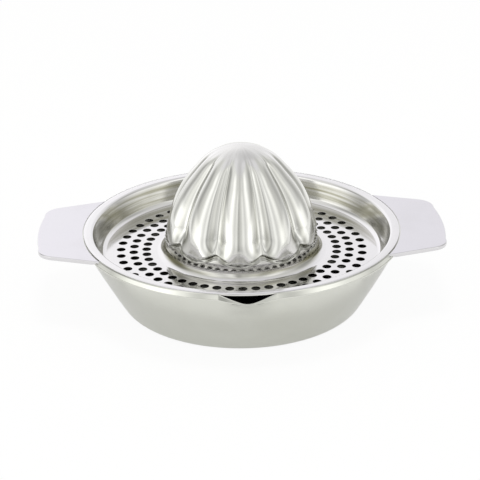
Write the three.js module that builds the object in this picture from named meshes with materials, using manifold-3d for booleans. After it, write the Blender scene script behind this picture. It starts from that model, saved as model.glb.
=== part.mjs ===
// A two-handled citrus squeezer in polished stainless sheet. A shallow conical bowl with a pouring
// notch carries two wing handles on its rolled rim. A perforated strainer tray with a fluted reamer
// on its neck sits in the rim and lifts out.
// Millimetres, +Z up. The origin is the centre of the base, the handles lie along X and the pouring
// notch faces -Y. Angles around the axis start at -Y and grow towards +X.

import * as THREE from 'three';
import { mergeVertices } from 'three/addons/utils/BufferGeometryUtils.js';
import Module from 'manifold-3d';

const wasm = await Module();
wasm.setup();

// Clearances
const seatGap = 0.3; // between pieces that rest on or beside each other
const overrun = 2; // how far a cutting shape runs past what it cuts

// Bowl: a drawn cone on a flat base with a shallow raised dish in its middle
const rimRadius = 70;
const rimHeight = 34;
const baseRadius = 52; // where the wall's line meets the table
const baseCornerRadius = 5.6;
const bowlSheet = 0.7;
const wallBow = 0.35; // how far the wall swells past its straight line
const dishRadius = 41;
const dishRise = 0.8;
const dishStep = 3;

// Rolled rim: a hem folded outwards, a curb along its top and a ledge inside that carries the tray
const hemHeight = 3;
const hemOverhang = 1.15;
const hemRound = 0.9;
const curbWidth = 0.95;
const curbRound = 0.45;
const ledgeDepth = 1;

// Pouring notch: a shallow V cut down through the hem, with the wall drawn out into a lip below it
const notchHalfWidth = 12;
const notchDepth = 4.6;
const notchRound = 2.6;
const lipRun = 7; // height of wall that bends out into the lip
const notchHemShare = 0.85; // share of the hem that has run out at the notch's lowest point

// Wing handles: flat stampings with a lip turned down along the free edges, lapped on the rim
const handleRun = 18.6; // from the rim to the middle of the tip
const handleRootHalfWidth = 33.5; // where the side edge crosses the rim
const handleTipHalfWidth = 25.6;
const handleTipCrown = 3.1; // how far the tip's corners lie behind its middle
const handleCornerRadius = 8.5;
const handleSheet = 0.7;
const handleLipHeight = 1.7;
const handleEdgeRound = 0.5;
const handleDrop = 0.3; // the handle's top lies this far below the rim's
const handleRootMargin = 0.8; // free length in the curb at each end of a handle's root
const handleSideShare = 1.5; // the side's drawn length, as a share of its length outside the rim

// Strainer tray: flange, sloping wall, perforated plate and a neck around a round opening
const traySheet = 0.7;
const trayDepth = 10.4; // from the flange's top to the plate's top
const flangeWidth = 3.85; // from the flange's edge in to the wall's line
const shoulderBend = 1.4;
const plateClearance = 2.93; // from the bowl's wall in to the plate's edge
const plateBend = 2.5;
const footHeight = 7.2; // of the neck's upright foot above the plate
const footBend = 4;
const neckHeight = 10.6; // of the whole neck above the plate
const neckLean = 3.2; // how far the neck leans in above its foot
const neckBend = 2.5;

// Strainer holes: three staggered rings
const holeRadius = 1.72;
const holesPerRing = 48;
const holeRingCount = 3;
const outerRingMargin = 8.2; // from the wall's line in to the outer ring
const holeRingPitch = 5.6;
const innerRingMargin = 9; // from the inner ring in to the neck's foot
const holeTurn = 2.45; // degrees from a lobe's centre to a hole of the outer ring

// Reamer: a fluted dome whose scalloped edge follows the neck. Heights are above the plate
const reamerSheet = 0.7;
const lobeCount = 10;
const bellyHeight = 9; // where the ridges are widest
const reamerHeight = 48;
const domeFullness = 1.68; // exponent of the dome's outline: 2 is an ellipse, 1 a straight cone
const fluteDepth = 4.5; // of the valleys between lobes, where the dome is widest
const fluteFoot = 6; // where the valleys begin, and where they are fully sunk
const fluteFull = 16;
const fluteFadeStart = 35; // where they begin to run out, and where they have gone
const fluteFadeEnd = 47.5;
const lobeFoot = 7.3; // height of a lobe's lowest edge
const cuspFoot = 10.2; // height of the edge between two lobes
const scallopFullness = 1.6; // exponent of the edge's rise from a lobe's middle to a cusp
const footTuck = 1; // height over which a lobe's end curls in to the edge

// The tray and reamer stand turned in the rim by this many degrees, as they happen to be put in
const insertTurn = -3.95;

// Steps of the curved surfaces
const roundSteps = 54;
const lobeSteps = 8;
const domeRows = 11;
const holeSides = 8;
const edgeSides = 108;

// Places that follow from the sizes above
const rimEnd = rimRadius - curbWidth; // inner face of the curb
const ledgeHeight = rimHeight - ledgeDepth;
const hemBottom = rimHeight - hemHeight;
const wallTopRadius = rimRadius - hemOverhang;
const handleReach = rimRadius + handleRun;
const handleTop = rimHeight - handleDrop;
const handleUnderside = handleTop - handleSheet;
const handleInnerRadius = rimEnd + seatGap;
const rootSeat = handleUnderside - seatGap; // top of the rim where the curb is left out
const flangeTop = ledgeHeight + seatGap + traySheet;
const flangeRadius = rimEnd - seatGap;
const plateTop = flangeTop - trayDepth;
const shoulderRadius = flangeRadius - flangeWidth; // where the flange's top meets the wall's line
const bowlWallAtPlate = baseRadius + ((wallTopRadius - baseRadius) * plateTop) / hemBottom - bowlSheet;
const plateRadius = bowlWallAtPlate - plateClearance; // where the wall's line meets the plate
const outerHoleRing = plateRadius - outerRingMargin;
const footRadius = outerHoleRing - (holeRingCount - 1) * holeRingPitch - innerRingMargin;
const neckRadius = footRadius - neckLean; // at the neck's top
const ridgeRadius = footRadius + seatGap + reamerSheet;

const radians = THREE.MathUtils.degToRad;
const { lerp, smoothstep } = THREE.MathUtils;
const point = (radius, height) => new THREE.Vector2(radius, height);

// A path through corners { at, bend, steps }: each corner with a bend radius becomes an arc
function roundedPath(corners) {
  return corners.flatMap(({ at, bend = 0, steps = 3 }, index) => {
    if (!bend) return [at];
    const back = corners[index - 1].at.clone().sub(at).normalize();
    const ahead = corners[index + 1].at.clone().sub(at).normalize();
    const half = back.angleTo(ahead) / 2;
    const centre = back.clone().add(ahead).normalize().multiplyScalar(bend / Math.sin(half)).add(at);
    const start = back.multiplyScalar(bend / Math.tan(half)).add(at).sub(centre);
    const end = ahead.multiplyScalar(bend / Math.tan(half)).add(at).sub(centre);
    const turn = Math.atan2(start.cross(end), start.dot(end));
    const origin = point(0, 0);
    return Array.from({ length: steps + 1 }, (_, step) =>
      start.clone().rotateAround(origin, (turn * step) / steps).add(centre));
  });
}

// The path that lies a distance to the left of another, with mitred corners
function offsetPath(path, distance) {
  const normals = path.slice(1).map((end, index) => {
    const along = end.clone().sub(path[index]).normalize();
    return point(-along.y, along.x);
  });
  return path.map((at, index) => {
    const before = normals[Math.max(index - 1, 0)];
    const after = normals[Math.min(index, normals.length - 1)];
    const mitre = before.clone().add(after).divideScalar(1 + before.dot(after));
    return mitre.multiplyScalar(distance).add(at);
  });
}

// A closed skin through sections that stand around the axis. Every section has the same number of
// points, starts and ends on the axis, and has its material on its left
function skinAroundAxis(angles, sectionAt) {
  const sections = angles.map(sectionAt);
  const rings = sections[0].length - 2;
  const positions = [];
  const faces = [];
  sections.forEach((section, column) => {
    for (const { x, y } of section.slice(1, -1)) {
      positions.push(x * Math.sin(angles[column]), -x * Math.cos(angles[column]), y);
    }
  });
  const start = angles.length * rings;
  const end = start + 1;
  positions.push(0, 0, sections[0][0].y, 0, 0, sections[0].at(-1).y);
  angles.forEach((_, column) => {
    const here = column * rings;
    const next = ((column + 1) % angles.length) * rings;
    faces.push(start, next, here);
    for (let ring = 0; ring < rings - 1; ring += 1) {
      faces.push(here + ring, next + ring, here + ring + 1);
      faces.push(next + ring, next + ring + 1, here + ring + 1);
    }
    faces.push(here + rings - 1, next + rings - 1, end);
  });
  const geometry = new THREE.BufferGeometry();
  geometry.setAttribute('position', new THREE.Float32BufferAttribute(positions, 3));
  geometry.setIndex(faces);
  return geometry;
}

// Solids for cutting and joining
function toSolid(geometry) {
  const bare = geometry.clone();
  bare.deleteAttribute('normal');
  bare.deleteAttribute('uv');
  const merged = mergeVertices(bare);
  return new wasm.Manifold(new wasm.Mesh({
    numProp: 3,
    vertProperties: new Float32Array(merged.attributes.position.array),
    triVerts: new Uint32Array(merged.index.array),
  }));
}

function toGeometry(solid) {
  const mesh = solid.getMesh();
  const geometry = new THREE.BufferGeometry();
  geometry.setAttribute('position', new THREE.BufferAttribute(mesh.vertProperties, 3));
  geometry.setIndex(new THREE.BufferAttribute(mesh.triVerts, 1));
  return geometry;
}

// An upright cylinder between two heights
function column(radius, low, high, sides) {
  const geometry = new THREE.CylinderGeometry(radius, radius, high - low, sides);
  return geometry.rotateX(Math.PI / 2).translate(0, 0, (low + high) / 2);
}

// Bowl

// The wall's outer line, from the middle of the base to the underside of the hem
function bowlOutside() {
  const foot = point(baseRadius, 0);
  const top = point(wallTopRadius, hemBottom);
  const outwards = point(top.y - foot.y, foot.x - top.x).normalize();
  const swell = foot.clone().add(top).divideScalar(2).addScaledVector(outwards, wallBow);
  return roundedPath([
    { at: point(0, dishRise) },
    { at: point(dishRadius - dishStep, dishRise) },
    { at: point(dishRadius, 0) },
    { at: foot, bend: baseCornerRadius, steps: 3 },
    { at: swell },
    { at: top },
  ]);
}

// The hem, curb and ledge, from the wall's outer face to its inner face
function rimPath(outerTop, innerTop) {
  return roundedPath([
    { at: outerTop },
    { at: point(rimRadius, hemBottom), bend: hemRound, steps: 2 },
    { at: point(rimRadius, rimHeight), bend: curbRound, steps: 2 },
    { at: point(rimEnd, rimHeight) },
    { at: point(rimEnd, ledgeHeight) },
    { at: point(innerTop.x, ledgeHeight) },
  ]).slice(1);
}

// How far down the notch has cut, from 0 at its ends to 1 at its lowest point
function notchShare(angle) {
  const aside = Math.abs(Math.atan2(Math.sin(angle), Math.cos(angle))) * rimRadius;
  if (aside >= notchHalfWidth) return 0;
  const rounded = Math.hypot(aside, notchRound) - notchRound;
  return 1 - rounded / (Math.hypot(notchHalfWidth, notchRound) - notchRound);
}

// The half angle of rim that a handle's root takes up
const handleSpan = Math.asin((handleRootHalfWidth + handleRootMargin) / rimEnd);

function underHandle(angle) {
  return Math.acos(Math.min(Math.abs(Math.sin(angle)), 1)) < handleSpan;
}

// One section of the bowl. The curb is left out under the handles, and in the notch the hem runs
// out into a lip that reaches as far as the rim
function bowlSection(outside, inside, rim, angle) {
  const cut = notchShare(angle);
  const notchBottom = rimHeight - notchDepth;
  const hemLeft = 1 - cut * notchHemShare;
  const flare = hemOverhang * (1 - hemLeft);
  const shaped = ({ x, y }, onHem) => {
    const height = y > notchBottom ? lerp(notchBottom, y, hemLeft) : y;
    const radius = onHem ? lerp(Math.min(x, wallTopRadius), x, hemLeft) : x;
    return point(radius + flare * smoothstep(height, notchBottom - lipRun, notchBottom), height);
  };
  const isCurb = ({ x, y }) => x >= rimEnd && y > ledgeHeight;
  const leftOut = (at) => (isCurb(at) && underHandle(angle) ? point(at.x, rootSeat) : at);
  return [
    ...outside.map((at) => shaped(at, false)),
    ...rim.map((at) => shaped(leftOut(at), true)),
    ...inside.map((at) => shaped(at, false)),
  ];
}

// Even steps around the bowl, finer across the notch, with a pair at each end of a handle's root
function bowlAngles() {
  const even = Array.from({ length: roundSteps }, (_, step) => (step / roundSteps) * 2 * Math.PI);
  const notchHalf = notchHalfWidth / rimRadius;
  const notchShares = [0, 0.12, 0.3, 0.53, 0.77, 1];
  const fine = notchShares.flatMap((share) => [share * notchHalf, 2 * Math.PI - share * notchHalf]);
  const least = seatGap / rimRadius;
  const ends = [Math.PI / 2, 1.5 * Math.PI].flatMap((middle) =>
    [-handleSpan - least, -handleSpan + least, handleSpan - least, handleSpan + least]
      .map((turn) => middle + turn));
  const nearFine = (angle) => Math.min(angle, 2 * Math.PI - angle) < notchHalf;
  const all = [...even.filter((angle) => !nearFine(angle)), ...fine, ...ends].sort((a, b) => a - b);
  return all.filter((angle, index) => angle < 2 * Math.PI - least
    && (index === 0 || angle - all[index - 1] > least));
}

function bowlGeometry() {
  const outside = bowlOutside();
  const inside = offsetPath(outside, bowlSheet);
  const rim = rimPath(outside.at(-1), inside.at(-1));
  inside.reverse();
  return skinAroundAxis(bowlAngles(), (angle) => bowlSection(outside, inside, rim, angle));
}

// Handles

// Half the width of a wing is a straight side, a round corner and half of a crowned tip
function wingOutline(inset) {
  const rootRadial = Math.sqrt(rimRadius ** 2 - handleRootHalfWidth ** 2);
  const tipCorner = point(handleReach - handleTipCrown, handleTipHalfWidth);
  const side = point(rootRadial, handleRootHalfWidth).sub(tipCorner);
  const root = tipCorner.clone().addScaledVector(side, handleSideShare);
  const tipHalf = handleTipHalfWidth - handleCornerRadius;
  const shares = [1, 0.5, 0, -0.5, -1];
  const crown = (y) => handleReach - handleTipCrown * (y / handleTipHalfWidth) ** 2;
  const drawnIn = (at) => point(at.x - inset, at.y - Math.sign(at.y) * inset);
  const bend = handleCornerRadius - inset;
  return roundedPath([
    { at: point(root.x, -root.y + inset) },
    { at: drawnIn(point(tipCorner.x, -tipCorner.y)), bend, steps: 4 },
    ...shares.toReversed().map((share) => ({ at: point(crown(share * tipHalf) - inset, share * tipHalf) })),
    { at: drawnIn(tipCorner), bend, steps: 4 },
    { at: point(root.x, root.y - inset) },
  ]);
}

// The wing's plate and lip in one, hollowed from below and fitted round the rim
function handleGeometry(side) {
  const low = handleTop - handleLipHeight;
  const blank = new THREE.ExtrudeGeometry(new THREE.Shape(wingOutline(0)), {
    depth: handleLipHeight,
    bevelSize: handleEdgeRound,
    bevelOffset: -handleEdgeRound,
    bevelThickness: handleEdgeRound,
    bevelSegments: 2,
  }).translate(0, 0, low - handleEdgeRound);
  const hollow = new THREE.ExtrudeGeometry(new THREE.Shape(wingOutline(handleSheet)), {
    depth: handleUnderside - low + overrun,
    bevelEnabled: false,
  }).translate(0, 0, low - overrun);
  const rimInside = column(handleInnerRadius, low - overrun, handleTop + overrun, edgeSides);
  const rimOutside = column(rimRadius + seatGap, low - overrun, handleUnderside, edgeSides);
  const belowLip = column(handleReach + overrun, low - overrun, low, edgeSides);
  const wing = toSolid(blank)
    .subtract(toSolid(hollow))
    .subtract(toSolid(rimInside))
    .subtract(toSolid(rimOutside))
    .subtract(toSolid(belowLip));
  return toGeometry(wing).rotateZ(side > 0 ? 0 : Math.PI);
}

// Strainer tray

// The tray's sheet in section: its upper face from the flange in to the neck, and back underneath
function traySection() {
  const upper = roundedPath([
    { at: point(flangeRadius, flangeTop) },
    { at: point(shoulderRadius, flangeTop), bend: shoulderBend, steps: 2 },
    { at: point(plateRadius, plateTop), bend: plateBend, steps: 2 },
    { at: point(footRadius, plateTop), bend: footBend, steps: 3 },
    { at: point(footRadius, plateTop + footHeight), bend: neckBend, steps: 1 },
    { at: point(neckRadius, plateTop + neckHeight) },
  ]);
  const lower = offsetPath(upper, traySheet).reverse();
  return [...upper, ...lower, upper[0]];
}

function strainerHoles() {
  const drill = column(holeRadius, plateTop - traySheet - overrun, plateTop + overrun, holeSides);
  const step = 360 / holesPerRing;
  const holes = [];
  for (let ring = 0; ring < holeRingCount; ring += 1) {
    const radius = outerHoleRing - ring * holeRingPitch;
    const stagger = ring % 2 ? step / 2 : 0;
    for (let hole = 0; hole < holesPerRing; hole += 1) {
      const angle = radians(holeTurn + stagger + hole * step);
      holes.push(toSolid(drill.clone().rotateZ(angle).translate(
        radius * Math.sin(angle), -radius * Math.cos(angle), 0)));
    }
  }
  return holes;
}

function trayGeometry() {
  const sheet = new THREE.LatheGeometry(traySection(), roundSteps).rotateX(Math.PI / 2);
  return toGeometry(toSolid(sheet).subtract(wasm.Manifold.union(strainerHoles())));
}

// Reamer

// Radius of the neck's outer face at a height above the plate
function neckAt(height) {
  const lean = Math.max(height - footHeight, 0) / (neckHeight - footHeight);
  return lerp(footRadius, neckRadius, lean);
}

// Distance from a lobe's centre, from 0 on its ridge to 1 in the valley beside it
function lobeShare(angle) {
  const turn = (angle * lobeCount) / (2 * Math.PI);
  return 2 * Math.abs(turn - Math.round(turn));
}

// Distance from the axis to a lobe's face, which is one circular arc from a valley over the ridge to
// the next valley. The arc's centre lies as far from the ridge as from the valleys
function lobeArc(ridge, valley, aside) {
  const half = Math.PI / lobeCount;
  const centre = (ridge ** 2 - valley ** 2) / (2 * (ridge - valley * Math.cos(half)));
  const across = centre * Math.sin(aside * half);
  return centre * Math.cos(aside * half) + Math.sqrt((ridge - centre) ** 2 - across ** 2);
}

// The dome's outer face at a share of the way from its edge (0) to its top (1). The ridges follow a
// superellipse, and the valleys sink in above the edge and run out again below the top
function domePoint(angle, share) {
  const aside = lobeShare(angle);
  const edge = lerp(lobeFoot, cuspFoot, aside ** scallopFullness);
  const height = lerp(edge, reamerHeight, Math.sin((share * Math.PI) / 2) ** (2 / domeFullness));
  const rise = Math.max(height - bellyHeight, 0) / (reamerHeight - bellyHeight);
  const ridge = ridgeRadius * Math.max(1 - rise ** domeFullness, 0) ** (1 / domeFullness);
  const sunk = smoothstep(height, fluteFoot, fluteFull)
    * (1 - smoothstep(height, fluteFadeStart, fluteFadeEnd));
  const valley = ridge * (1 - (fluteDepth * sunk) / ridgeRadius);
  const edgeRadius = neckAt(edge) + seatGap + reamerSheet;
  const curl = Math.min((height - edge) / footTuck, 1);
  const radius = lerp(edgeRadius, lobeArc(ridge, valley, aside), Math.sqrt(1 - (1 - curl) ** 2));
  return point(share === 1 ? 0 : radius, plateTop + height);
}

function reamerSection(angle) {
  const outside = Array.from({ length: domeRows + 1 }, (_, row) => domePoint(angle, row / domeRows));
  const inside = offsetPath(outside, reamerSheet).filter((_, row) => row % 2 === domeRows % 2 || !row);
  inside[0].set(outside[0].x - reamerSheet, outside[0].y);
  inside.at(-1).set(0, plateTop + reamerHeight - reamerSheet);
  return [...inside.reverse(), ...outside];
}

function reamerGeometry() {
  const steps = lobeCount * lobeSteps;
  const angles = Array.from({ length: steps }, (_, step) => (step / steps) * 2 * Math.PI);
  return skinAroundAxis(angles, reamerSection);
}

// Assembly

function stainless(colour, roughness) {
  return new THREE.MeshStandardMaterial({ color: colour, roughness, metalness: 1 });
}

function piece(name, geometry, material) {
  const mesh = new THREE.Mesh(geometry, material);
  mesh.name = name;
  return mesh;
}

const group = new THREE.Group();
group.add(piece('bowl', bowlGeometry(), stainless(0xc9cac4, 0.12)));
group.add(piece('handle_right', handleGeometry(1), stainless(0xdfdee3, 0.1)));
group.add(piece('handle_left', handleGeometry(-1), stainless(0xdfdee3, 0.1)));

const insert = new THREE.Group();
insert.rotation.z = radians(insertTurn);
insert.add(piece('strainer_tray', trayGeometry(), stainless(0xe6e5e8, 0.08)));
insert.add(piece('reamer', reamerGeometry(), stainless(0xd8d8d6, 0.1)));
group.add(insert);

export default group;
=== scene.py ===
"""A two-handled citrus squeezer in polished stainless steel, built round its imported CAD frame.

The bowl, the two wing handles, the strainer tray and the fluted reamer are surfaces worked out as
whole arrays in the frame's own coordinates: the handles lie along X, the pouring notch faces -Y and
Z points up from the table. Sizes and arrays are millimetres, and each finished mesh is metres.
"""

from __future__ import annotations

import logging
import math
from dataclasses import dataclass
from enum import Enum
from typing import Union

import bpy
import numpy as np
from mathutils import Matrix


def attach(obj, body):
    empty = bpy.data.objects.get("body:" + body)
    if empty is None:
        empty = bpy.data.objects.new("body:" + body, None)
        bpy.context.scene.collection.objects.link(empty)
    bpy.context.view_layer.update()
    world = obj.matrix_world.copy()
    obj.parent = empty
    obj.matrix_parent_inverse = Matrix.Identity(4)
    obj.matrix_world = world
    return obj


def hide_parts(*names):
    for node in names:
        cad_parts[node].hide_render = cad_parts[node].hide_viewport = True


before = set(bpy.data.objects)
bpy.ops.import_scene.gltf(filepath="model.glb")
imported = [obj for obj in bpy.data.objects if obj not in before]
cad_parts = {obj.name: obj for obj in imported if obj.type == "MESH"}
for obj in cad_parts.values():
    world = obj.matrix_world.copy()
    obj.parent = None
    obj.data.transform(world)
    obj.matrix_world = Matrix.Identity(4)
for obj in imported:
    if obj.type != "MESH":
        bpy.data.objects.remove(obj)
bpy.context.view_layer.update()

LOG = logging.getLogger("citrus_squeezer")
MM = 0.001
TOUCH = 0.01  # millimetres, below which two measures count as the same
SHADED = 2.0  # the "dull" value of a wall that lies in shade
Number = Union[int, float]
Operand = Union[int, float, "Wire"]
Pair = tuple[float, float]
Colour = tuple[float, float, float]
Array = np.ndarray
WHITE = (1.0, 1.0, 1.0, 1.0)


# Shader building


class Wire:
    """A shader socket's value, on which Python's operators make Math nodes."""

    def __init__(self, graph: Graph, socket: bpy.types.NodeSocket | None) -> None:
        """Wraps an output socket of a graph, or None for a node that ends it."""
        self.graph = graph
        self.socket = socket

    def math(self, operation: str, *others: Operand) -> Wire:
        """The result of a Math node on this value and others."""
        return self.graph.math(operation, self, *others)

    def __add__(self, other: Operand) -> Wire:
        """This value plus another."""
        return self.math("ADD", other)

    def __sub__(self, other: Operand) -> Wire:
        """This value minus another."""
        return self.math("SUBTRACT", other)

    def __rsub__(self, other: Number) -> Wire:
        """A number minus this value."""
        return self.graph.math("SUBTRACT", other, self)

    def __mul__(self, other: Operand) -> Wire:
        """This value times another."""
        return self.math("MULTIPLY", other)

    def __truediv__(self, other: Operand) -> Wire:
        """This value over another."""
        return self.math("DIVIDE", other)

    __radd__ = __add__

    def step(self, low: Number, high: Number) -> Wire:
        """A smooth step from 0 at low to 1 at high, which may be the lower of the two."""
        sockets = {"Value": self, "From Min": min(low, high), "From Max": max(low, high)}
        settings = {"interpolation_type": "SMOOTHSTEP"}
        rising = self.graph.node("ShaderNodeMapRange", settings, sockets)
        return rising if low < high else 1 - rising

    def bump_at(self, centre: Number, reach: Number) -> Wire:
        """A smooth hill, 1 at the centre and 0 beyond a reach on both sides."""
        return (self - centre).math("ABSOLUTE").step(reach, 0.0)


class Graph:
    """A material's or world's node tree, filled through one method."""

    def __init__(self, owner: bpy.types.Material | bpy.types.World) -> None:
        """Gives a material or world an empty node tree."""
        owner.use_nodes = True
        self.tree = owner.node_tree
        self.tree.nodes.clear()

    def node(
        self,
        kind: str,
        settings: dict[str, object] | None = None,
        sockets: dict[str | int, object] | None = None,
        output: str | int = 0,
    ) -> Wire:
        """Makes a node and gives the output that is wanted, by name or number.

        Settings are the node's own, and sockets are values or links of its input sockets.
        """
        made = self.tree.nodes.new(kind)
        for name, value in (settings or {}).items():
            setattr(made, name, value)
        for name, value in (sockets or {}).items():
            if isinstance(value, Wire):
                self.tree.links.new(value.socket, made.inputs[name])
            else:
                made.inputs[name].default_value = value
        return Wire(self, made.outputs[output] if made.outputs else None)

    def math(self, operation: str, *values: Operand) -> Wire:
        """The result of a Math node, whose inputs are given in order."""
        return self.node("ShaderNodeMath", {"operation": operation}, dict(enumerate(values)))

    def split(self, vector: Wire) -> tuple[Wire, Wire, Wire]:
        """A vector's X, Y and Z."""
        made = self.node("ShaderNodeSeparateXYZ", sockets={0: vector})
        return tuple(Wire(self, output) for output in made.socket.node.outputs)

    def join(self, x: Operand, y: Operand, z: Operand) -> Wire:
        """A vector from its X, Y and Z."""
        return self.node("ShaderNodeCombineXYZ", sockets={0: x, 1: y, 2: z})

    def blend(self, factor: Operand, first: object, second: object) -> Wire:
        """A colour between two others: the first at factor 0, the second at 1."""
        sockets = {0: factor, 6: first, 7: second}
        return self.node("ShaderNodeMix", {"data_type": "RGBA"}, sockets, output=2)

    def noise(self, vector: Wire, scale: float, detail: float, rough: float) -> Wire:
        """Noise about 0.5 at a place, with the scale in waves per unit."""
        sockets = {"Vector": vector, "Scale": scale, "Detail": detail, "Roughness": rough}
        return self.node("ShaderNodeTexNoise", {"noise_dimensions": "3D"}, sockets)


@dataclass(frozen=True)
class Stroke:
    """Noise that is drawn out along the way of polishing.

    Each of the noise's three axes follows one measure of the place, with so many waves to the
    millimetre or radian.
    """

    axes: tuple[tuple[str, float], ...]
    detail: float = 2.0
    rough: float = 0.6

    def draw(self, graph: Graph, measures: dict[str, Wire]) -> Wire:
        """The noise over a sheet, from the place's measures in millimetres and radians."""
        place = graph.join(*(measures[name] * waves for name, waves in self.axes))
        return graph.noise(place, 1.0, self.detail, self.rough)


BROAD = Stroke((("radius", 0.3), ("height", 0.62), ("turn", 1.3)))


class Grain(Enum):
    """The way in which a sheet was polished: its fine lines, and the streaks in its dull and
    painted-shade places.
    """

    ROUND = Stroke((("radius", 3.0), ("height", 3.0), ("turn", 1.2)), detail=3.0), BROAD
    ALONG = Stroke((("x", 0.08), ("y", 3.0), ("height", 1.0)), detail=3.0), BROAD
    FLUTED = (
        Stroke((("turn", 40.0), ("height", 0.15), ("radius", 0.2)), detail=3.0),
        Stroke((("turn", 9.0), ("height", 0.05), ("radius", 0.05)), rough=0.5),
    )


@dataclass(frozen=True)
class PolishedSteel:
    """Polished stainless sheet: a mirror with polishing lines, haze, soft waves, dull places and
    painted shade.

    The mesh's attribute of dullness and shade, from 0 to 1, makes a place rougher and paints it
    toward the darker colour: painted shade inside and under the pieces, on the back of the tray's
    wall and in the reamer's creases, and painted dark streaks on its lobes. Above that the place
    lies in shade and is painted nearly black.
    """

    slot: str
    colour: Colour
    tint: Colour
    unpolished_and_shade: Colour
    grain: Grain
    wave_depth: float
    roughness: float = 0.075
    haze: float = 0.05
    haze_size: float = 22.0
    haze_noise: Pair = (3.0, 0.55)
    haze_range: Pair = (0.42, 0.72)
    line_haze: float = 0.05
    line_tint: float = 0.2
    line_depth: float = 0.0004
    unpolished_haze: float = 0.10
    streak: float = 1.6
    shade_range: Pair = (1.2, SHADED)
    shade_share: float = 0.12
    wave_size: float = 14.0
    wave_noise: Pair = (1.0, 0.4)

    def make(self) -> bpy.types.Material:
        """Builds the material."""
        material = bpy.data.materials.new(f"polished_{self.slot}")
        graph = Graph(material)
        place = graph.node("ShaderNodeTexCoord", output="Object")
        painted_shade_and_dull = graph.node("ShaderNodeAttribute", {"attribute_name": "dull_and_shade"}, output="Fac")
        x, y, z = (axis / MM for axis in graph.split(place))
        radius = (x * x + y * y).math("SQRT")
        measures = {"x": x, "y": y, "height": z, "radius": radius, "turn": y.math("ARCTAN2", x)}
        lines, streaks = (stroke.draw(graph, measures) for stroke in self.grain.value)
        haze = graph.noise(place, 1 / (self.haze_size * MM), *self.haze_noise)
        haze = haze.step(*self.haze_range)
        waves = graph.noise(place, 1 / (self.wave_size * MM), *self.wave_noise)
        dull_and_shade = painted_shade_and_dull * (1 + (streaks - 0.5) * self.streak)
        roughness = self.roughness + haze * self.haze + (lines - 0.5) * self.line_haze
        roughness = roughness + dull_and_shade * self.unpolished_haze
        toned = haze * (1 - self.line_tint) + lines * self.line_tint
        colour = graph.blend(toned, (*self.colour, 1), (*self.tint, 1))
        # Painted shade: where the attribute says so, the colour goes toward the darker one.
        colour = graph.blend(dull_and_shade, colour, (*self.unpolished_and_shade, 1))
        dark = (part * self.shade_share for part in self.unpolished_and_shade)
        colour = graph.blend(painted_shade_and_dull.step(*self.shade_range), colour, (*dark, 1))
        relief = waves * (self.wave_depth * MM) + lines * (self.line_depth * MM)
        bump = {"Strength": 1.0, "Distance": 1.0, "Height": relief}
        finish = {
            "Base Color": colour,
            "Metallic": 1.0,
            "Roughness": roughness,
            "Normal": graph.node("ShaderNodeBump", sockets=bump),
        }
        shader = graph.node("ShaderNodeBsdfPrincipled", sockets=finish)
        graph.node("ShaderNodeOutputMaterial", sockets={"Surface": shader})
        return material


# Surfaces


def rounded_path(corners: list[tuple[float, ...]], steps: int = 8, hold: float = 0.06) -> Array:
    """A path through corners, each of which may have a bend radius after its two coordinates.

    A corner with a bend becomes an arc of so many steps that touches both straight runs: its centre
    lies on the bisector at the bend over the sine of the half angle. At the hold's distance before
    and after each arc the straight run gets one more point, so that shading stays on the arc.
    """
    points = np.array([corner[:2] for corner in corners], float)
    bends = [corner[2] if len(corner) > 2 else 0.0 for corner in corners]
    path = []
    for index, (at, bend) in enumerate(zip(points, bends)):
        if not bend:
            path.append(at[None])
            continue
        back = points[index - 1] - at
        ahead = points[index + 1] - at
        back, ahead = back / np.linalg.norm(back), ahead / np.linalg.norm(ahead)
        half = math.acos(np.clip(back @ ahead, -1, 1)) / 2
        reach = bend / math.tan(half)
        middle = (back + ahead) / np.linalg.norm(back + ahead)
        centre = at + middle * bend / math.sin(half)
        start, end = at + back * reach - centre, at + ahead * reach - centre
        turn = math.atan2(start[0] * end[1] - start[1] * end[0], start @ end)
        angles = np.linspace(0, turn, steps + 1)
        cosines, sines = np.cos(angles), np.sin(angles)
        arc = np.stack(
            [start[0] * cosines - start[1] * sines, start[0] * sines + start[1] * cosines], 1
        )
        path.append((at + back * (reach + hold))[None])
        path.append(arc + centre)
        path.append((at + ahead * (reach + hold))[None])
    return np.concatenate(path)


def densify(path: Array, longest: float) -> Array:
    """The path with each run cut into even steps, none of them over the longest."""
    lengths = np.linalg.norm(np.diff(path, axis=0), axis=1)
    counts = np.maximum(np.ceil(lengths / longest).astype(int), 1)
    starts = np.repeat(np.arange(len(counts)), counts)
    shares = np.concatenate([np.arange(count) / count for count in counts])
    points = path[starts] + (path[starts + 1] - path[starts]) * shares[:, None]
    return np.concatenate([points, path[-1:]])


def offset_path(path: Array, distance: float) -> Array:
    """The path at a distance to the left, with mitred corners.

    Each point moves along the sum of its two runs' unit normals, divided by one plus their product.
    """
    along = np.diff(path, axis=0)
    along /= np.linalg.norm(along, axis=1)[:, None]
    normals = np.stack([-along[:, 1], along[:, 0]], 1)
    before = np.concatenate([normals[:1], normals])
    after = np.concatenate([normals, normals[-1:]])
    return path + distance * (before + after) / (1 + (before * after).sum(1))[:, None]


def spun(radius: Array, height: Array, angles: Array) -> Array:
    """Points round the axis: x is r sin a, y is -r cos a, so that angle 0 is at the notch.

    Radii and heights are given by rows and columns, or by rows alone, and angles by columns.
    """
    radius, height, turn = np.broadcast_arrays(radius, height, angles)
    return np.stack([radius * np.sin(turn), -radius * np.cos(turn), height], -1)


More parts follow.
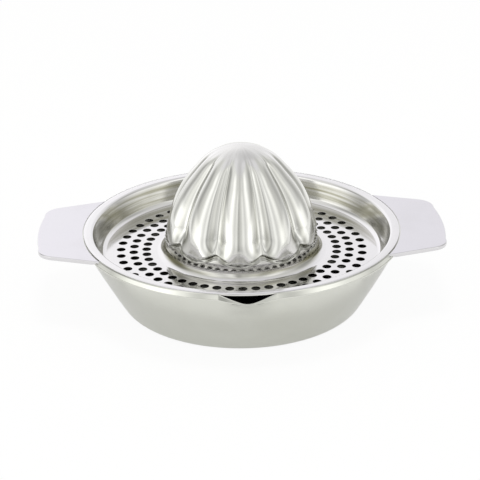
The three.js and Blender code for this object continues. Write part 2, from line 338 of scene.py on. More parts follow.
def grid_faces(rows: int, columns: int, wrap_rows: bool, wrap_columns: bool) -> Array:
    """Quads of a grid whose points are numbered row by row.

    Where rows or columns wrap, the last one meets the first.
    """
    row = np.arange(rows if wrap_rows else rows - 1)[:, None]
    column = np.arange(columns if wrap_columns else columns - 1)[None]
    next_row, next_column = (row + 1) % rows, (column + 1) % columns
    corners = [
        row * columns + column,
        row * columns + next_column,
        next_row * columns + next_column,
        next_row * columns + column,
    ]
    return np.stack(np.broadcast_arrays(*corners), -1).reshape(-1, 4)


def put(name: str, data: bpy.types.ID) -> bpy.types.Object:
    """Puts a mesh, lamp or camera in the scene, at the origin."""
    made = bpy.data.objects.new(name, data)
    bpy.context.scene.collection.objects.link(made)
    return made


class Sheet:
    """Gathers patches of points and faces and welds them into one mesh."""

    def __init__(self) -> None:
        """Starts with nothing."""
        self.points: list[Array] = []
        self.faces: list[Array] = []
        self.dullness_and_shade: list[Array] = []
        self.caps: list[Array] = []
        self.count = 0

    def patch(
        self,
        points: Array,
        wrap_rows: bool = False,
        wrap_columns: bool = False,
        dull_and_shade: float | Array = 0.0,
    ) -> Array:
        """Adds a grid of points and gives their numbers.

        Where rows or columns wrap, the last one meets the first. The attribute of dullness and
        painted shade has one value for all points or one for each.
        """
        rows, columns = points.shape[:2]
        numbers = self.count + np.arange(rows * columns).reshape(rows, columns)
        self.points.append(points.reshape(-1, 3))
        self.dullness_and_shade.append(np.broadcast_to(dull_and_shade, (rows, columns)).reshape(-1))
        self.faces.append(self.count + grid_faces(rows, columns, wrap_rows, wrap_columns))
        self.count += rows * columns
        return numbers

    def cap(self, numbers: Array) -> None:
        """Adds one face over a ring of point numbers."""
        self.caps.append(numbers)

    def mesh(self, name: str, crease: float = 50.0) -> bpy.types.Object:
        """Welds the patches and makes the object.

        Points at one place, to a ten-thousandth of a millimetre, become one. Quads that a pole or a
        seam has drawn to a line go, and those drawn to a triangle keep three corners. Past the
        crease's angle in degrees an edge stays sharp.
        """
        points = np.concatenate(self.points)
        _, first, inverse = np.unique(
            np.round(points, 4), axis=0, return_index=True, return_inverse=True
        )
        inverse = inverse.reshape(-1)
        quads = inverse[np.concatenate(self.faces)]
        same = quads == np.roll(quads, -1, axis=1)
        whole = quads[same.sum(1) == 0]
        whole = whole[(whole[:, 0] != whole[:, 2]) & (whole[:, 1] != whole[:, 3])]
        thirds = quads[same.sum(1) == 1]
        thirds = thirds[~same[same.sum(1) == 1]].reshape(-1, 3)
        caps = [list(dict.fromkeys(inverse[cap].tolist())) for cap in self.caps]
        mesh = bpy.data.meshes.new(name)
        mesh.from_pydata(
            (points[first] * MM).tolist(), [], whole.tolist() + thirds.tolist() + caps
        )
        dull_and_shade = mesh.attributes.new("dull_and_shade", "FLOAT", "POINT")
        dull_and_shade.data.foreach_set("value", np.concatenate(self.dullness_and_shade)[first].astype(np.float32))
        mesh.validate()
        mesh.polygons.foreach_set("use_smooth", np.ones(len(mesh.polygons), bool))
        mesh.set_sharp_from_angle(angle=math.radians(crease))
        mesh.update()
        return put(name, mesh)


def smoothstep(value: Array, low: float, high: float) -> Array:
    """0 below low, 1 above high, and 3t^2 - 2t^3 between."""
    share = np.clip((value - low) / (high - low), 0, 1)
    return share * share * (3 - 2 * share)


# The squeezer


@dataclass
class Bowl:
    """The drawn bowl with its rolled rim, seat ledge and pouring notch."""

    rim_radius: float = 70.0
    rim_height: float = 34.0
    base_radius: float = 52.0
    base_bend: float = 5.6
    sheet: float = 0.7
    wall_bow: float = 0.35
    dish_radius: float = 41.0
    dish_rise: float = 0.8
    dish_step: float = 3.0
    dish_bend: float = 3.0
    hem_height: float = 3.0
    hem_overhang: float = 1.15
    hem_round: float = 0.9
    curb_inner: float = 68.84
    curb_width: float = 0.35
    curb_drop: float = 0.4
    curb_rounds: Pair = (0.2, 0.08)
    brow_height: float = 2.4
    brow_lean: float = 0.7
    brow_rounds: Pair = (1.6, 0.5)
    ledge_height: float = 33.2
    ledge_rounds: Pair = (0.05, 0.3)
    notch_half: float = 12.0
    notch_depth: float = 4.6
    notch_round: float = 2.6
    lip_run: float = 7.0
    notch_hem_share: float = 0.85
    root_half: float = 33.5
    root_seat: float = 32.98
    root_ramp: float = 0.12
    root_margin: float = 0.5
    root_drop: float = 0.2
    wall_step: float = 2.2
    rim_step: float = 1.0
    columns: int = 360
    notch_columns: int = 67
    notch_span: float = 1.1
    root_columns: int = 11
    root_span: float = 2.5

    def profile(self) -> tuple[Array, Array]:
        """The sheet in section, from the middle of the base out, over the rim and back inside.

        The wall swells past its straight line by the bow times 4u(1 - u), u being the share of the
        way up. With the points comes, for each, whether it belongs to the hem.
        """
        foot = np.array([self.base_radius, 0.0])
        top = np.array([self.rim_radius - self.hem_overhang, self.rim_height - self.hem_height])
        outside = rounded_path(
            [
                (0, self.dish_rise),
                (self.dish_radius - self.dish_step, self.dish_rise, self.dish_bend),
                (self.dish_radius, 0, self.dish_bend),
                (*foot, self.base_bend),
                (*top,),
            ]
        )
        outside = densify(outside, self.wall_step)
        wall = top - foot
        length = np.linalg.norm(wall)
        share = np.clip((outside - foot) @ wall / length**2, 0, 1)
        out = np.array([wall[1], -wall[0]]) / length
        on_wall = (outside[:, 1] > TOUCH) & (outside[:, 0] > foot[0])
        swell = self.wall_bow * 4 * share * (1 - share) * on_wall
        outside = outside + swell[:, None] * out
        inside = offset_path(outside, self.sheet)[::-1]
        brow = self.rim_radius - self.brow_lean
        rim = rounded_path(
            [
                (*outside[-1],),
                (self.rim_radius, top[1], self.hem_round),
                (self.rim_radius, self.rim_height - self.brow_height, self.brow_rounds[0]),
                (brow, self.rim_height - self.curb_drop, self.brow_rounds[1]),
                (brow - self.curb_width, self.rim_height, self.curb_rounds[0]),
                (self.curb_inner, self.rim_height, self.curb_rounds[1]),
                (self.curb_inner, self.ledge_height, self.ledge_rounds[0]),
                (inside[0, 0], self.ledge_height, self.ledge_rounds[1]),
                (*inside[0],),
            ],
            steps=5,
            hold=0.03,
        )[1:-1]
        rim = densify(rim, self.rim_step)
        on_hem = np.repeat([False, True, False], [len(outside), len(rim), len(inside)])
        return np.concatenate([outside, rim, inside]), on_hem

    def angles(self) -> Array:
        """Angles round the bowl: even degrees, finer across the notch and at the handles' roots."""
        even = np.linspace(0, 2 * np.pi, self.columns + 1)[:-1]
        half = self.notch_half / self.rim_radius
        fine = np.linspace(-half, half, self.notch_columns) * self.notch_span
        root = math.asin(self.root_half / self.rim_radius)
        near = np.linspace(-1, 1, self.root_columns) * self.root_span * self.root_ramp
        near = near / self.rim_radius
        ends = [side + sign * root + near for side in (np.pi / 2, 1.5 * np.pi) for sign in (-1, 1)]
        every = np.concatenate([even, fine, *ends]) % (2 * np.pi)
        return np.unique(np.round(every, 5))

    def build(self) -> bpy.types.Object:
        """Spins the section and shapes the notch and the handles' seats.

        At the notch the heights above its lowest point shrink towards it, the hem's overhang runs
        out by the same share, and the wall below bends out by what the hem gives up. Under a handle
        everything above the seat comes down to it.
        """
        section, on_hem = self.profile()
        angles = self.angles()
        radius, height = section[:, :1], section[:, 1:]
        hem = on_hem[:, None]
        root = math.asin((self.root_half + self.root_ramp) / self.rim_radius)
        aside = np.arccos(np.clip(np.abs(np.sin(angles)), 0, 1)) - root
        under = 1 - smoothstep(aside * self.rim_radius, -self.root_ramp, self.root_ramp)
        curb = hem & (radius >= self.curb_inner - TOUCH) & (height > self.root_seat)
        height = np.where(curb, height + (self.root_seat - height) * under, height)
        ledge = hem & ~curb & (height > self.root_seat - self.root_margin)
        height = np.where(ledge, height - self.root_drop * under, height)

        across = np.abs((angles + np.pi) % (2 * np.pi) - np.pi) * self.rim_radius
        rounded = np.hypot(across, self.notch_round) - self.notch_round
        full = math.hypot(self.notch_half, self.notch_round) - self.notch_round
        cut = np.clip(1 - rounded / full, 0, 1)
        left = 1 - cut * self.notch_hem_share
        low = self.rim_height - self.notch_depth
        top_radius = self.rim_radius - self.hem_overhang
        height = np.where(height > low, low + (height - low) * left, height)
        kept = np.minimum(radius, top_radius)
        radius = np.where(hem, kept + (radius - kept) * left, radius)
        flare = self.hem_overhang * (1 - left)
        radius = radius + flare * smoothstep(height, low - self.lip_run, low)

        # The inner face is painted dark: painted shade inside the bowl, under the tray, so that the
        # holes look black.
        inside = np.arange(len(section)) > np.flatnonzero(on_hem)[-1]
        sheet = Sheet()
        sheet.patch(spun(radius, height, angles), wrap_columns=True, dull_and_shade=inside[:, None] * 1.0)
        return sheet.mesh("bowl_shell")


@dataclass
class WingHandle:
    """A stamped wing with its free edges turned down into a lip."""

    side: int = 1
    reach: float = 88.6
    root_half: float = 33.5
    tip_half: float = 25.6
    tip_crown: float = 3.1
    corner: float = 8.5
    sheet: float = 0.7
    lip: float = 1.7
    edge_round: float = 0.5
    lip_round: float = 0.2
    lip_corner: float = 0.06
    lip_fillet: float = 0.12
    lip_start: Pair = (0.25, 1.3)
    top: float = 33.7
    rim_radius: float = 70.0
    inner_radius: float = 69.35
    root_width: float = 1.3
    hold: float = 0.05
    bend_steps: int = 6
    corner_steps: int = 16
    run_step: float = 1.2
    tip_columns: int = 25
    plate_rows: int = 13

    def outline(self, inset: float) -> Array:
        """The free edge, drawn in by an inset, from the front root round the tip to the back root.

        A straight side, an arc of the corner radius, a tip that bulges by the crown times one minus
        the square of the share across, and the same again.
        """
        root_x = math.sqrt(self.inner_radius**2 - self.root_half**2)
        corner_x = self.reach - self.tip_crown
        slope = (self.root_half - self.tip_half) / (corner_x - root_x)
        tip_half = self.tip_half - self.corner
        share = np.linspace(-1, 1, self.tip_columns)
        crown = self.reach - self.tip_crown * (share * tip_half / self.tip_half) ** 2 - inset
        tip = np.stack([crown, share * tip_half], 1)
        side_y = self.tip_half - inset * math.hypot(1, slope)
        tip_x = crown[0]
        arc = rounded_path(
            [
                (root_x, -(side_y + slope * (corner_x - root_x))),
                (tip_x, -(side_y + slope * (corner_x - tip_x)), self.corner - inset),
                (tip_x, 0.0),
            ],
            steps=self.corner_steps,
            hold=self.hold,
        )[:-1]
        run = densify(arc, self.run_step)
        run = run[run[:, 1] < -tip_half - 2 * TOUCH]
        return np.concatenate([run, tip, run[::-1] * np.array([1, -1])])

    def build(self) -> bpy.types.Object:
        """Carries the edge's section along the outline and closes the plate to the rim.

        Each column runs from the rim out over the top, round the edge, down the lip, back up its
        inner face and in under the plate. The top and the underside are straight lines between the
        edge and an arc along the rim.
        """
        low = self.top - self.lip
        under = self.top - self.sheet
        curve, sheet, soft, corner = self.edge_round, self.sheet, self.lip_round, self.lip_corner
        turn = np.linspace(0, np.pi / 2, self.bend_steps + 1)
        bend = np.stack([curve * (1 - np.sin(turn)), self.top - curve * (1 - np.cos(turn))], 1)
        edge = np.array(
            [
                (curve + self.hold, self.top),
                *bend,
                (0, self.top - curve - self.hold),
                (0, low + soft),
                (corner, low + corner),
                (soft, low),
                (sheet - soft, low),
                (sheet - corner, low + corner),
                (sheet, low + soft),
                (sheet, under - self.lip_fillet),
                (sheet + self.lip_fillet, under),
            ]
        )
        plan = np.stack([self.outline(inset) for inset in edge[:, 0]])
        count = plan.shape[1]
        distance = np.linalg.norm(plan[len(bend)], axis=1) - self.rim_radius
        heights = np.repeat(edge[:, 1:], count, 1)
        lifted = np.maximum(heights, under)
        heights = lifted + (heights - lifted) * smoothstep(distance, *self.lip_start)

        half = math.asin(self.root_half / self.inner_radius)
        along = np.linspace(-1, 1, count) * (half - self.root_width / self.inner_radius)
        arc = self.inner_radius * np.stack([np.cos(along), np.sin(along)], 1)
        shares = np.linspace(0, 1, self.plate_rows + 1)[:-1]

        def plate(line: Array, height: float) -> Array:
            """Rows of points from the rim's arc out to an outline."""
            flat = arc[None] + (line - arc)[None] * shares[:, None, None]
            level = np.full((*flat.shape[:2], 1), height)
            return np.concatenate([flat, level], -1)

        rim = np.concatenate([plan, heights[..., None]], -1)
        top = plate(plan[0], self.top)
        bottom = plate(plan[-1], under)[::-1]
        points = np.concatenate([top, rim, bottom])[:, ::-1]
        if self.side < 0:
            points = points * np.array([-1, -1, 1])
        sheet = Sheet()
        numbers = sheet.patch(points, wrap_rows=True)
        sheet.cap(numbers[:, 0])
        sheet.cap(numbers[::-1, -1])
        name = "wing_handle_right" if self.side > 0 else "wing_handle_left"
        return sheet.mesh(name)


@dataclass
class Insert:
    """What the strainer tray and the reamer share: the neck, and their turn in the rim."""

    turn: float = -3.95
    plate_top: float = 23.6
    foot_radius: float = 33.2
    foot_height: float = 7.2
    neck_radius: float = 30.0
    neck_height: float = 10.6

    def turned(self, piece: bpy.types.Object) -> bpy.types.Object:
        """The piece, its mesh turned as the insert stands in the rim."""
        piece.data.transform(Matrix.Rotation(math.radians(self.turn), 4, "Z"))
        return piece


@dataclass
class StrainerTray(Insert):
    """The loose tray: flange, wall, perforated plate and the neck that carries the reamer.

    Ranges named for the wall or the neck are heights above the plate. The ranges across the front
    are cosines of the angle from the notch, over which the painted shade on the wall and the neck
    is taken
    off by a share: the back, which faces the camera, is painted darker than the front.
    """

    sheet: float = 0.7
    flange_top: float = 34.0
    flange_radius: float = 68.8
    shoulder_radius: float = 64.9
    shoulder_bend: float = 1.4
    plate_radius: float = 61.2
    plate_bend: float = 2.5
    foot_bend: float = 4.0
    neck_bend: float = 3.0
    edge_soft: float = 0.06
    hole_radius: float = 1.9
    holes_per_ring: int = 48
    rings: tuple[float, ...] = (53.0, 47.4, 41.8)
    hole_turn: float = 2.45
    hole_shade: float = 0.02
    lip: float = 0.1
    lip_hold: float = 0.04
    flare: float = 0.2
    flare_round: Pair = (0.03, 0.1)
    side_steps: int = 6
    lip_steps: int = 3
    bend_steps: int = 10
    section_step: float = 2.0
    wall_dull_and_shade: float = 0.5
    wall_from: Pair = (0.8, 2.4)
    wall_to: Pair = (8.6, 9.6)
    wall_unshaded_front: Pair = (-0.45, 0.2)
    wall_unshaded_front_share: float = 0.9
    neck_dull_and_shade: float = 1.0
    neck_from: Pair = (0.5, 1.6)
    neck_fade: Pair = (3.2, 4.8)
    neck_fade_share: float = 0.5
    neck_unshaded_front: Pair = (0.4, 0.85)
    neck_unshaded_front_share: float = 0.6

    def band(self) -> float:
        """Half the width of the band that one ring of holes takes up."""
        return (self.rings[0] - self.rings[1]) / 2

    def hole_patches(self, sheet: Sheet) -> None:
        """Adds the perforated bands to a sheet.

        Each hole has a cell, bounded by two arcs and two radii. Rows run from the cell's edge in to
        a circle, round the punched lip, down the hole, round its lower edge and out again below.
        """
        half = self.band()
        pitch = 2 * np.pi / self.holes_per_ring
        across = np.linspace(-1, 1, self.side_steps + 1)[:-1]
        # The cell's edge, counter-clockwise from the corner at low radius and low angle.
        radial = np.concatenate([0 * across - 1, across, 0 * across + 1, -across])
        around = np.concatenate([across, 0 * across + 1, -across, 0 * across - 1])
        spoke = math.atan2(-1, -1) + np.linspace(0, 2 * np.pi, len(radial) + 1)[:-1, None]
        bend = np.linspace(0, np.pi / 2, self.lip_steps + 1)
        rim, low = self.hole_radius, -self.sheet
        upper = [(rim + self.lip * (1 - math.sin(a)), self.lip * (math.cos(a) - 1)) for a in bend]
        wide, (near, far) = rim + self.flare, self.flare_round
        lower = [(wide, low + far), (wide + near, low + near), (wide + far, low)]
        circles = [(rim + self.lip + self.lip_hold, 0.0), *upper, *lower]
        for ring, radius in enumerate(self.rings):
            turn = math.radians(self.hole_turn) + (pitch / 2 if ring % 2 else 0.0)
            centres = turn + pitch * np.arange(self.holes_per_ring)
            edge_r = radius + half * radial[None]
            edge_a = centres[:, None] + pitch / 2 * around[None]
            edge = np.stack([edge_r * np.sin(edge_a), -edge_r * np.cos(edge_a)], -1)
            out = np.stack([np.sin(centres), -np.cos(centres)], -1)[:, None]
            side = np.stack([np.cos(centres), np.sin(centres)], -1)[:, None]
            hub = radius * out
            ray = out * np.sin(spoke) + side * np.cos(spoke)
            rows = [(edge, 0.0), ((edge + hub + ray * circles[0][0]) / 2, 0.0)]
            rows += [(hub + ray * reach, level) for reach, level in circles]
            rows += [((edge + hub + ray * circles[-1][0]) / 2, low), (edge, low)]
            plan = np.stack([row for row, _ in rows], 1)
            levels = np.array([level for _, level in rows])[:, None]
            # The holes' walls below the plate's top face are painted nearly black: painted shade
            # down the hole.
            dull_and_shade = SHADED * (levels < -self.hole_shade)
            heights = np.broadcast_to(self.plate_top + levels, plan.shape[1:3])[..., None]
            for hole in plan:
                points = np.concatenate([hole, heights], -1)
                sheet.patch(points, wrap_columns=True, dull_and_shade=dull_and_shade)

    def dullness_and_shade(self, radius: Array, above: Array) -> Array:
        """How much, from 0 to 1, the upper face is painted darker and duller: painted shade on the
        steep wall and up the neck under the reamer.
        """
        wall = smoothstep(above, *self.wall_from) * (1 - smoothstep(above, *self.wall_to))
        fade = 1 - self.neck_fade_share * smoothstep(above, *self.neck_fade)
        neck = smoothstep(above, *self.neck_from) * fade
        return np.where(radius > self.rings[1], self.wall_dull_and_shade * wall, self.neck_dull_and_shade * neck)

    def build(self) -> bpy.types.Object:
        """Joins the perforated bands with the spun wall and neck."""
        half = self.band()
        outer, inner = self.rings[0] + half, self.rings[-1] - half
        wall = [
            (outer, self.plate_top),
            (self.plate_radius, self.plate_top, self.plate_bend),
            (self.shoulder_radius, self.flange_top, self.shoulder_bend),
            (self.flange_radius, self.flange_top),
        ]
        neck = [
            (inner, self.plate_top),
            (self.foot_radius, self.plate_top, self.foot_bend),
            (self.foot_radius, self.plate_top + self.foot_height, self.neck_bend),
            (self.neck_radius, self.plate_top + self.neck_height),
        ]
        sheet = Sheet()
        columns = self.holes_per_ring * self.side_steps
        step = 2 * np.pi / columns
        angles = math.radians(self.hole_turn) + step * (np.arange(columns) + self.side_steps / 2)
        # Painted shade: the wall and the neck are painted darker at the back, which faces the
        # camera, than toward the notch.
        front = np.cos(angles)
        parts = (
            (wall, 1, self.wall_unshaded_front_share * smoothstep(front, *self.wall_unshaded_front)),
            (neck, -1, self.neck_unshaded_front_share * smoothstep(front, *self.neck_unshaded_front)),
        )
        for corners, outward, unshaded_front in parts:
            upper = densify(rounded_path(corners, self.bend_steps), self.section_step)
            lower = offset_path(upper, -outward * self.sheet)
            end_top, end_low = upper[-1], lower[-1]
            back = upper[-2] - end_top
            back = back / np.linalg.norm(back) * self.edge_soft
            down = (end_low - end_top) / self.sheet * self.edge_soft
            end = [end_top + back, end_top + down, end_low - down, end_low + back]
            section = np.concatenate([upper[:-1], end, lower[-2::-1]])
            # The lower faces and the edges are painted dark: painted shade under the tray and
            # inside the neck.
            dull_and_shade = np.ones(len(section))
            dull_and_shade[: len(upper)] = self.dullness_and_shade(*(section[: len(upper)] - (0, self.plate_top)).T)
            if outward > 0:
                section, dull_and_shade = section[::-1], dull_and_shade[::-1]
            points = spun(section[:, :1], section[:, 1:], angles)
            sheet.patch(points, wrap_columns=True, dull_and_shade=dull_and_shade[:, None] * (1 - unshaded_front))
        self.hole_patches(sheet)
        return self.turned(sheet.mesh("strainer", crease=60))


@dataclass
class Reamer(Insert):
    """The fluted dome, with a seam bead under its scalloped edge.

    Heights count from the plate. Ranges named for the ridge, flank and crease are places across a
    lobe, 0 on the ridge and 1 in the crease.
    """

    sheet: float = 0.5
    lobes: int = 10
    ridge_radius: float = 34.0
    belly: float = 5.5
    height: float = 48.0
    fullness: float = 1.77
    cap_fullness: float = 0.16
    cap_range: Pair = (0.72, 0.98)
    flute_depth: float = 4.9
    valley_round: float = 0.14
    flute_foot: Pair = (6.0, 16.0)
    flute_end: Pair = (40.0, 47.8)
    lobe_foot: float = 6.7
    cusp_foot: float = 10.2
    scallop: float = 1.6
    foot_tuck: float = 1.0
    seat_gap: float = 0.05
    seam_top: float = 0.1
    bead_drop: float = 1.5
    bead_half: float = 0.4
    bead_rise: float = 0.22
    inner_drop: Pair = (12.0, 46.4)
    bead_rows: int = 12
    tuck_rows: int = 10
    columns: int = 480
    rows: int = 110
    ridge_dull_and_painted_streak: float = 0.3
    ridge_to: Pair = (0.02, 0.35)
    flank_dull_and_painted_streak: float = 0.35
    flank_from: Pair = (0.5, 0.7)
    flank_to: Pair = (0.76, 0.9)
    flank_low: Pair = (16.0, 24.0)
    flank_low_share: float = 0.8
    crease_dull_and_shade: float = 0.35
    crease_from: Pair = (0.88, 0.93)
    foot_dull_and_shade: float = 0.6
    foot_to: Pair = (0.1, 0.6)
    cap_dull: float = 0.22
    cap_from: Pair = (44.0, 46.5)

    def neck_at(self, height: Array) -> Array:
        """Radius of the tray's neck at a height above the plate."""
        share = np.maximum(height - self.foot_height, 0) / (self.neck_height - self.foot_height)
        return self.foot_radius + (self.neck_radius - self.foot_radius) * share

    def outside(self) -> tuple[Array, Array, Array, Array]:
        """The dome's outer face.

        The ridges follow a superellipse, r/R to the n plus h/H to the n equal to 1, where n rises
        near the top, so that the cap is blunt. The valleys lie a share of that radius further in,
        and the share rises from 0 above the edge and falls to 0 below the top. Each lobe is one
        circular arc from valley to valley over the ridge: its centre lies at
        (ridge^2 - valley^2) / (2 (ridge - valley cos half)) from the axis. The place across the
        lobe slows down to a halt at the valley, which rounds it. Near its lowest edge each lobe
        curls in to the neck along a quarter of a circle. Below that edge the face lies on the neck
        and swells once, as half an ellipse, into the seam bead.

        Returns:
            Radius and height, rows by columns, the angles, and the painted shade and dullness.
        """
        angles = 2 * np.pi * np.arange(self.columns) / self.columns
        turns = angles * self.lobes / (2 * np.pi)
        aside = 2 * np.abs(turns - np.round(turns))[None]
        past = np.maximum(aside - 1 + self.valley_round, 0) / self.valley_round
        aside = aside - self.valley_round * past**2 / 2
        edge = self.lobe_foot + (self.cusp_foot - self.lobe_foot) * aside**self.scallop
        share = np.linspace(0, 1, self.rows)[1:, None]
        rise = np.sin(share * np.pi / 2) ** (2 / self.fullness)
        tuck_top = edge + self.foot_tuck
        bend = np.linspace(0, np.pi / 2, self.tuck_rows)[:, None]
        tuck = edge + self.foot_tuck * (1 - np.cos(bend))
        height = np.concatenate([tuck, tuck_top + (self.height - tuck_top) * rise])
        curl = np.concatenate([np.sin(bend), np.ones_like(rise)])
        up = np.maximum(height - self.belly, 0) / (self.height - self.belly)
        power = self.fullness + self.cap_fullness * smoothstep(up, *self.cap_range)
        ridge = self.ridge_radius * np.maximum(1 - up**power, 0) ** (1 / power)
        sunk = smoothstep(height, *self.flute_foot) * (1 - smoothstep(height, *self.flute_end))
        valley = ridge * (1 - self.flute_depth * sunk / self.ridge_radius)
        half = math.pi / self.lobes
        span = np.maximum(ridge - valley * math.cos(half), 1e-6)
        centre = (ridge**2 - valley**2) / (2 * span)
        across = centre * np.sin(aside * half)
        lobe = centre * np.cos(aside * half) + np.sqrt((ridge - centre) ** 2 - across**2)
        foot = self.neck_at(edge) + self.seat_gap
        radius = foot + (lobe - foot) * curl
        radius[-1] = 0

        lowest = self.bead_drop + self.bead_half
        drop = np.linspace(lowest, self.seam_top, self.bead_rows)[:, None]
        across = np.clip((drop - self.bead_drop) / self.bead_half, -1, 1)
        seam = self.neck_at(edge - drop) + self.seat_gap + self.bead_rise * np.sqrt(1 - across**2)
        radius = np.concatenate([seam, radius])
        height = np.concatenate([edge - drop, height])
        return radius, self.plate_top + height, angles, self.dullness_and_shade(height, edge, aside)

    def dullness_and_shade(self, height: Array, edge: Array, aside: Array) -> Array:
        """How much, from 0 to 1, the outer face is painted darker and made duller.

        Painted darker bands on the ridge and on the flank, stronger low down, stand in for the dark
        streaks that the dome reflects; painted shade fills the crease and the foot under the
        scalloped edge; the cap is evenly a little darker. The edge is the scalloped edge's height,
        and aside the place across the lobe.
        """
        ridge = self.ridge_dull_and_painted_streak * (1 - smoothstep(aside, *self.ridge_to))
        flank = smoothstep(aside, *self.flank_from) * (1 - smoothstep(aside, *self.flank_to))
        low = 1 + self.flank_low_share * (1 - smoothstep(height, *self.flank_low))
        crease = self.crease_dull_and_shade * smoothstep(aside, *self.crease_from)
        foot = self.foot_dull_and_shade * (1 - smoothstep(height - edge, *self.foot_to))
        cap = smoothstep(height, *self.cap_from)
        # Painted shade in the crease and at the foot, and painted dark streaks on the ridge and the
        # flank.
        flutes = ridge + self.flank_dull_and_painted_streak * flank * low + crease
        return np.clip(flutes * (1 - cap) + self.cap_dull * cap + foot, 0, 1)

    def build(self) -> bpy.types.Object:
        """Spins the dome and gives it its wall."""
        radius, height, angles, dull_and_shade = self.outside()
        above = height - self.plate_top
        on_seam = np.arange(len(radius))[:, None] <= self.bead_rows
        on_neck = self.neck_at(above) + self.seat_gap / 2
        inner_radius = np.where(on_seam, on_neck, np.maximum(radius - self.sheet, 0))
        inner_height = height - self.sheet * smoothstep(above, *self.inner_drop)
        inner_radius[-1] = 0
        inner_height[-1] = self.plate_top + self.height - self.sheet
        # The inner face keeps the seam's rows, every second row above them, and the last.
        kept = [*range(self.bead_rows), *range(self.bead_rows, len(radius), 2), len(radius) - 1]
        kept = np.unique(kept)[::-1]
        radius = np.concatenate([inner_radius[kept], radius])
        height = np.concatenate([inner_height[kept], height])
        # The inner face is painted dark: painted shade inside the dome.
        dull_and_shade = np.concatenate([np.ones_like(inner_radius[kept]), dull_and_shade])
        sheet = Sheet()
        sheet.patch(spun(radius, height, angles), wrap_columns=True, dull_and_shade=dull_and_shade)
        return self.turned(sheet.mesh("reamer_dome", crease=75))


# The studio


@dataclass(frozen=True)
class Panel:
    """An upright panel of the tent that gives light or, where its glow is below 0, takes it.

    Centre and reach are shares of half a turn from the camera's side, and the panel has a twin on
    the other side unless it is one-sided. It ends above the first of its two heights and is full
    below the second. The lean is what X adds to its glow.
    """

    centre: float
    reach: float
    height: Pair
    glow: float
    lean: float = 0.0
    one_sided: bool = False

    def light(self, turn: Wire, x: Wire, z: Wire) -> Wire:
        """The light that it adds in a direction of some turn, X and Z."""
        place = (turn if self.one_sided else turn.math("ABSOLUTE")).bump_at(self.centre, self.reach)
        return place * z.step(*self.height) * (self.glow + x * self.lean)


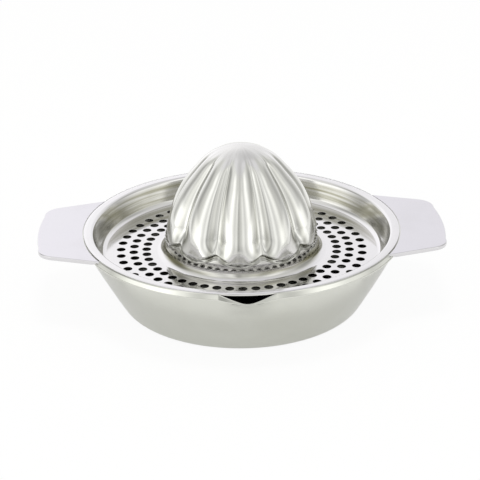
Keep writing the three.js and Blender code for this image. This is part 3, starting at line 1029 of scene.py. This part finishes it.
@dataclass
class Studio:
    """The floor, the light and the camera. Its sizes are metres, but the camera's millimetres."""

    distance: float = 690.5
    elevation: float = 24.08
    azimuth: float = 1.9
    roll: float = -0.66
    focal_pixels: float = 1569.0
    picture: float = 480.0
    target: Pair = (241.67, 247.78)
    sensor: float = 36.0
    floor_half: float = 3.0
    floor_colour: Colour = (0.9, 0.9, 0.88)
    floor_seen: float = 0.93
    floor_mirrored: float = 0.35
    lamp_place: tuple[float, float, float] = (0.0, -0.15, 1.15)
    lamp_tilt: float = 7.0
    lamp_size: float = 0.3
    lamp_power: float = 3.6
    tent_light: float = 0.8
    tent_lean: float = 0.07
    back_from: Pair = (0.66, 0.86)
    back_height: Pair = (0.92, 0.45)
    back_glow: float = 0.31
    back_left: float = 0.13
    back_balance: float = 0.45
    back_middle: Pair = (-0.2, 0.2)
    front_low: Pair = (0.26, 0.12)
    front_low_height: Pair = (0.14, 0.0)
    front_low_shade: float = 0.2
    zenith: Pair = (0.97, 0.85)
    zenith_colour: Colour = (1.0, 1.0, 0.975)
    back_colour: Colour = (0.987, 0.977, 1.008)
    panels: tuple[Panel, ...] = (
        Panel(0.1, 0.07, (0.93, 0.75), 0.27),  # strip lights beside the camera
        Panel(0.3, 0.13, (0.93, 0.75), 0.45),
        Panel(0.42, 0.28, (0.32, 0.16), 0.5, lean=-0.1),  # soft boxes low at the sides
        Panel(0.6, 0.15, (0.8, 0.55), -0.34, lean=0.1),  # dark flags beyond them
        Panel(-0.045, 0.05, (0.93, 0.7), -0.34, one_sided=True),  # a dark stripe in front
    )

    def camera(self) -> None:
        """Puts the camera where the photograph was taken from.

        It looks at the middle of the strainer plate. The roll turns the picture's right side up,
        and the shift brings the plate's middle to its place in the picture.
        """
        turned = (
            Matrix.Rotation(-math.radians(self.azimuth), 4, "Z")
            @ Matrix.Rotation(math.radians(90 - self.elevation), 4, "X")
            @ Matrix.Rotation(math.radians(self.roll), 4, "Z")
        )
        lens = bpy.data.cameras.new("camera")
        lens.sensor_width = self.sensor
        lens.lens = self.sensor * self.focal_pixels / self.picture
        middle = self.picture / 2
        lens.shift_x = (middle - self.target[0]) / self.picture
        lens.shift_y = (self.target[1] - middle) / self.picture
        lens.clip_start, lens.clip_end = 0.01, 20
        camera = put("camera", lens)
        aim = Matrix.Translation((0, 0, Insert.plate_top * MM))
        camera.matrix_world = aim @ turned @ Matrix.Translation((0, 0, self.distance * MM))
        bpy.context.scene.camera = camera

    def floor(self) -> None:
        """A pale floor that shows white to the camera and keeps the object's shadow."""
        sheet = Sheet()
        half = self.floor_half / MM
        line = np.linspace(-half, half, 3)
        across, along = np.meshgrid(line, line)
        sheet.patch(np.stack([across, along, 0 * across], -1))
        floor = sheet.mesh("floor")
        material = bpy.data.materials.new("pale_floor")
        graph = Graph(material)
        camera_ray = graph.node("ShaderNodeLightPath", output="Is Camera Ray")
        glossy_ray = graph.node("ShaderNodeLightPath", output="Is Glossy Ray")
        seen = camera_ray * self.floor_seen + glossy_ray * self.floor_mirrored
        plain = graph.node("ShaderNodeBsdfDiffuse", sockets={"Color": (*self.floor_colour, 1)})
        white = graph.node("ShaderNodeEmission", sockets={"Color": WHITE, "Strength": 1.0})
        mixed = graph.node("ShaderNodeMixShader", sockets={0: seen, 1: plain, 2: white})
        graph.node("ShaderNodeOutputMaterial", sockets={"Surface": mixed})
        floor.data.materials.append(material)

    def world(self) -> None:
        """A white tent, brightest behind the object, with panels that give or take light.

        The direction's Z is how high it looks. The turn is its angle from the camera's side over
        half a turn: 0 toward the camera, 1 and -1 behind the object, positive to the right. The
        light falls off to the right and low in front, and the back is cooler than the zenith.
        """
        world = bpy.data.worlds.new("studio")
        bpy.context.scene.world = world
        graph = Graph(world)
        direction = graph.node("ShaderNodeTexCoord", output="Generated")
        x, y, z = graph.split(direction)
        turn = x.math("ARCTAN2", 0 - y) / math.pi
        away = turn.math("ABSOLUTE")
        back = away.step(*self.back_from)
        low = z.step(*self.front_low_height) * away.step(*self.front_low)
        left = (self.back_balance - x.step(*self.back_middle)) * self.back_left
        light = self.tent_light - x * self.tent_lean - low * self.front_low_shade
        light = light + back * (z.step(*self.back_height) * self.back_glow + left)
        for panel in self.panels:
            light = light + panel.light(turn, x, z)
        warm = 1 - (1 - back) * z.step(*self.zenith)
        sky = graph.blend(warm, (*self.zenith_colour, 1), (*self.back_colour, 1))
        camera_ray = graph.node("ShaderNodeLightPath", output="Is Camera Ray")
        colour = graph.blend(camera_ray, sky, WHITE)
        strength = light * (1 - camera_ray) + camera_ray
        shader = graph.node("ShaderNodeBackground", sockets={"Color": colour, "Strength": strength})
        graph.node("ShaderNodeOutputWorld", sockets={"Surface": shader})

    def lamps(self) -> None:
        """One soft lamp high above, which gives the object its faint shadow."""
        lamp = bpy.data.lights.new("overhead", "AREA")
        lamp.shape = "DISK"
        lamp.size = self.lamp_size
        lamp.energy = self.lamp_power
        hung = put("overhead", lamp)
        hung.location = self.lamp_place
        hung.rotation_euler = (math.radians(self.lamp_tilt), 0, 0)
        hung.visible_glossy = False

    def build(self) -> None:
        """Makes the stage and sets how the picture is read."""
        self.camera()
        self.floor()
        self.world()
        self.lamps()
        bpy.context.scene.view_settings.view_transform = "Standard"


class Squeezer:
    """Builds each piece, dresses it and ties it to the frame."""

    BOWL_STEEL = PolishedSteel(
        "bowl_steel",
        colour=(0.685, 0.69, 0.65),
        tint=(0.655, 0.66, 0.615),
        unpolished_and_shade=(0.20, 0.20, 0.18),
        grain=Grain.ROUND,
        wave_depth=0.12,
    )
    # The handles' steel has a lilac tint, a painted reflection: the lilac-white of their
    # reflections is put into the steel.
    HANDLE_STEEL = PolishedSteel(
        "handle_steel",
        colour=(0.72, 0.71, 0.735),
        tint=(0.69, 0.68, 0.70),
        unpolished_and_shade=(0.52, 0.52, 0.52),
        grain=Grain.ALONG,
        wave_depth=0.04,
    )
    TRAY_STEEL = PolishedSteel(
        "tray_steel",
        colour=(0.79, 0.785, 0.78),
        tint=(0.76, 0.755, 0.745),
        unpolished_and_shade=(0.25, 0.24, 0.15),
        grain=Grain.ROUND,
        streak=4.0,
        wave_depth=0.04,
    )
    REAMER_STEEL = PolishedSteel(
        "reamer_steel",
        colour=(0.87, 0.87, 0.845),
        tint=(0.83, 0.83, 0.805),
        unpolished_and_shade=(0.36, 0.36, 0.32),
        grain=Grain.FLUTED,
        wave_depth=0.08,
    )

    def __init__(self) -> None:
        """Starts with no finish made."""
        self.finishes: dict[str, bpy.types.Material] = {}

    def place(self, piece: bpy.types.Object, steel: PolishedSteel, node: str, body: str) -> None:
        """Dresses a piece, hides the CAD node that it replaces and ties it to the body it rides."""
        if steel.slot not in self.finishes:
            self.finishes[steel.slot] = steel.make()
        piece.data.materials.append(self.finishes[steel.slot])
        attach(piece, body)
        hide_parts(node)
        LOG.info("%s: %d faces", piece.name, len(piece.data.polygons))

    def build(self) -> None:
        """Builds every piece in order."""
        self.place(Bowl().build(), self.BOWL_STEEL, "bowl", "bowl")
        self.place(WingHandle(side=1).build(), self.HANDLE_STEEL, "handle_right", "bowl")
        self.place(WingHandle(side=-1).build(), self.HANDLE_STEEL, "handle_left", "bowl")
        self.place(StrainerTray().build(), self.TRAY_STEEL, "strainer_tray", "insert")
        self.place(Reamer().build(), self.REAMER_STEEL, "reamer", "insert")


def main() -> None:
    """Builds the stage and the squeezer."""
    logging.basicConfig(level=logging.INFO, format="%(name)s: %(message)s")
    Studio().build()
    Squeezer().build()


if __name__ == "__main__":
    main()
